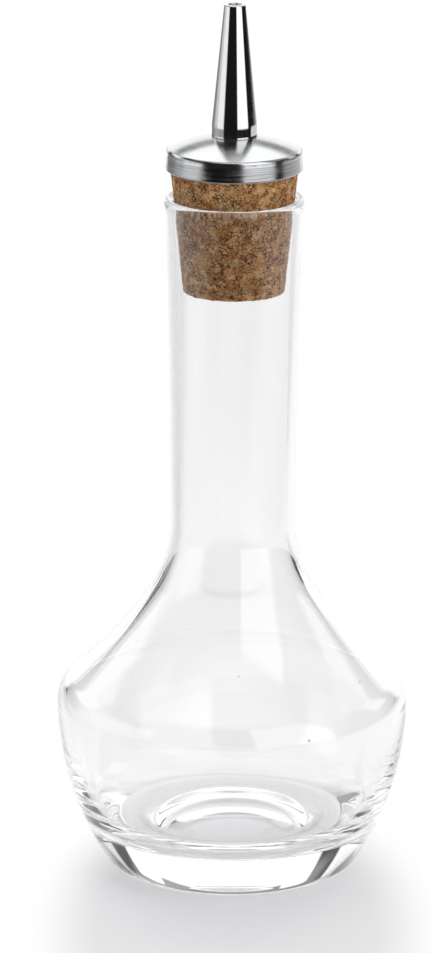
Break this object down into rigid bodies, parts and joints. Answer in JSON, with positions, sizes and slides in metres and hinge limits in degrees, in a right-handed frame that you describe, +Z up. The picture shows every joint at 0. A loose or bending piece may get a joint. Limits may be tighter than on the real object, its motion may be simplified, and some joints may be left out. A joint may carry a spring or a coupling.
{
  "type": "bitters bottle",
  "caption": "Clear glass bitters bottle with a round belly, long neck and heavy base, closed by a tapered cork that carries a domed steel cap and a conical dasher spout.",
  "frame": {"origin": "centre of the base, on the surface that the bottle stands on", "axes": "+Z up along the axis of the bottle and its spout; the object is round, so +X and +Y are any two square directions in the surface"},
  "size_m": [0.07, 0.07, 0.176],
  "materials": {
    "clear_glass": "clear blown glass, fire polished",
    "granulated_cork": "matt pressed cork granules with dark flecks",
    "cap_steel": "polished dome, skirt brushed around",
    "spout_steel": "turned and mirror polished stainless steel",
    "tube_steel": "plain drawn stainless steel"
  },
  "bodies": {
    "bottle": {"glass_bottle": "clear_glass"},
    "stopper": {"cork_stopper": "granulated_cork"},
    "dasher_head": {"steel_cap": "cap_steel", "dasher_spout": "spout_steel", "feed_tube": "tube_steel", "retaining_washer": "tube_steel"}
  },
  "joints": [
    {"name": "stopper_lift", "type": "slide", "parent": "bottle", "child": "stopper", "axis": [0, 0, 1], "range_m": [0, 0.04]},
    {"name": "head_turn", "type": "hinge", "parent": "stopper", "child": "dasher_head", "pos_m": [0, 0, 0.14], "axis": [0, 0, 1], "continuous": true}
  ]
}
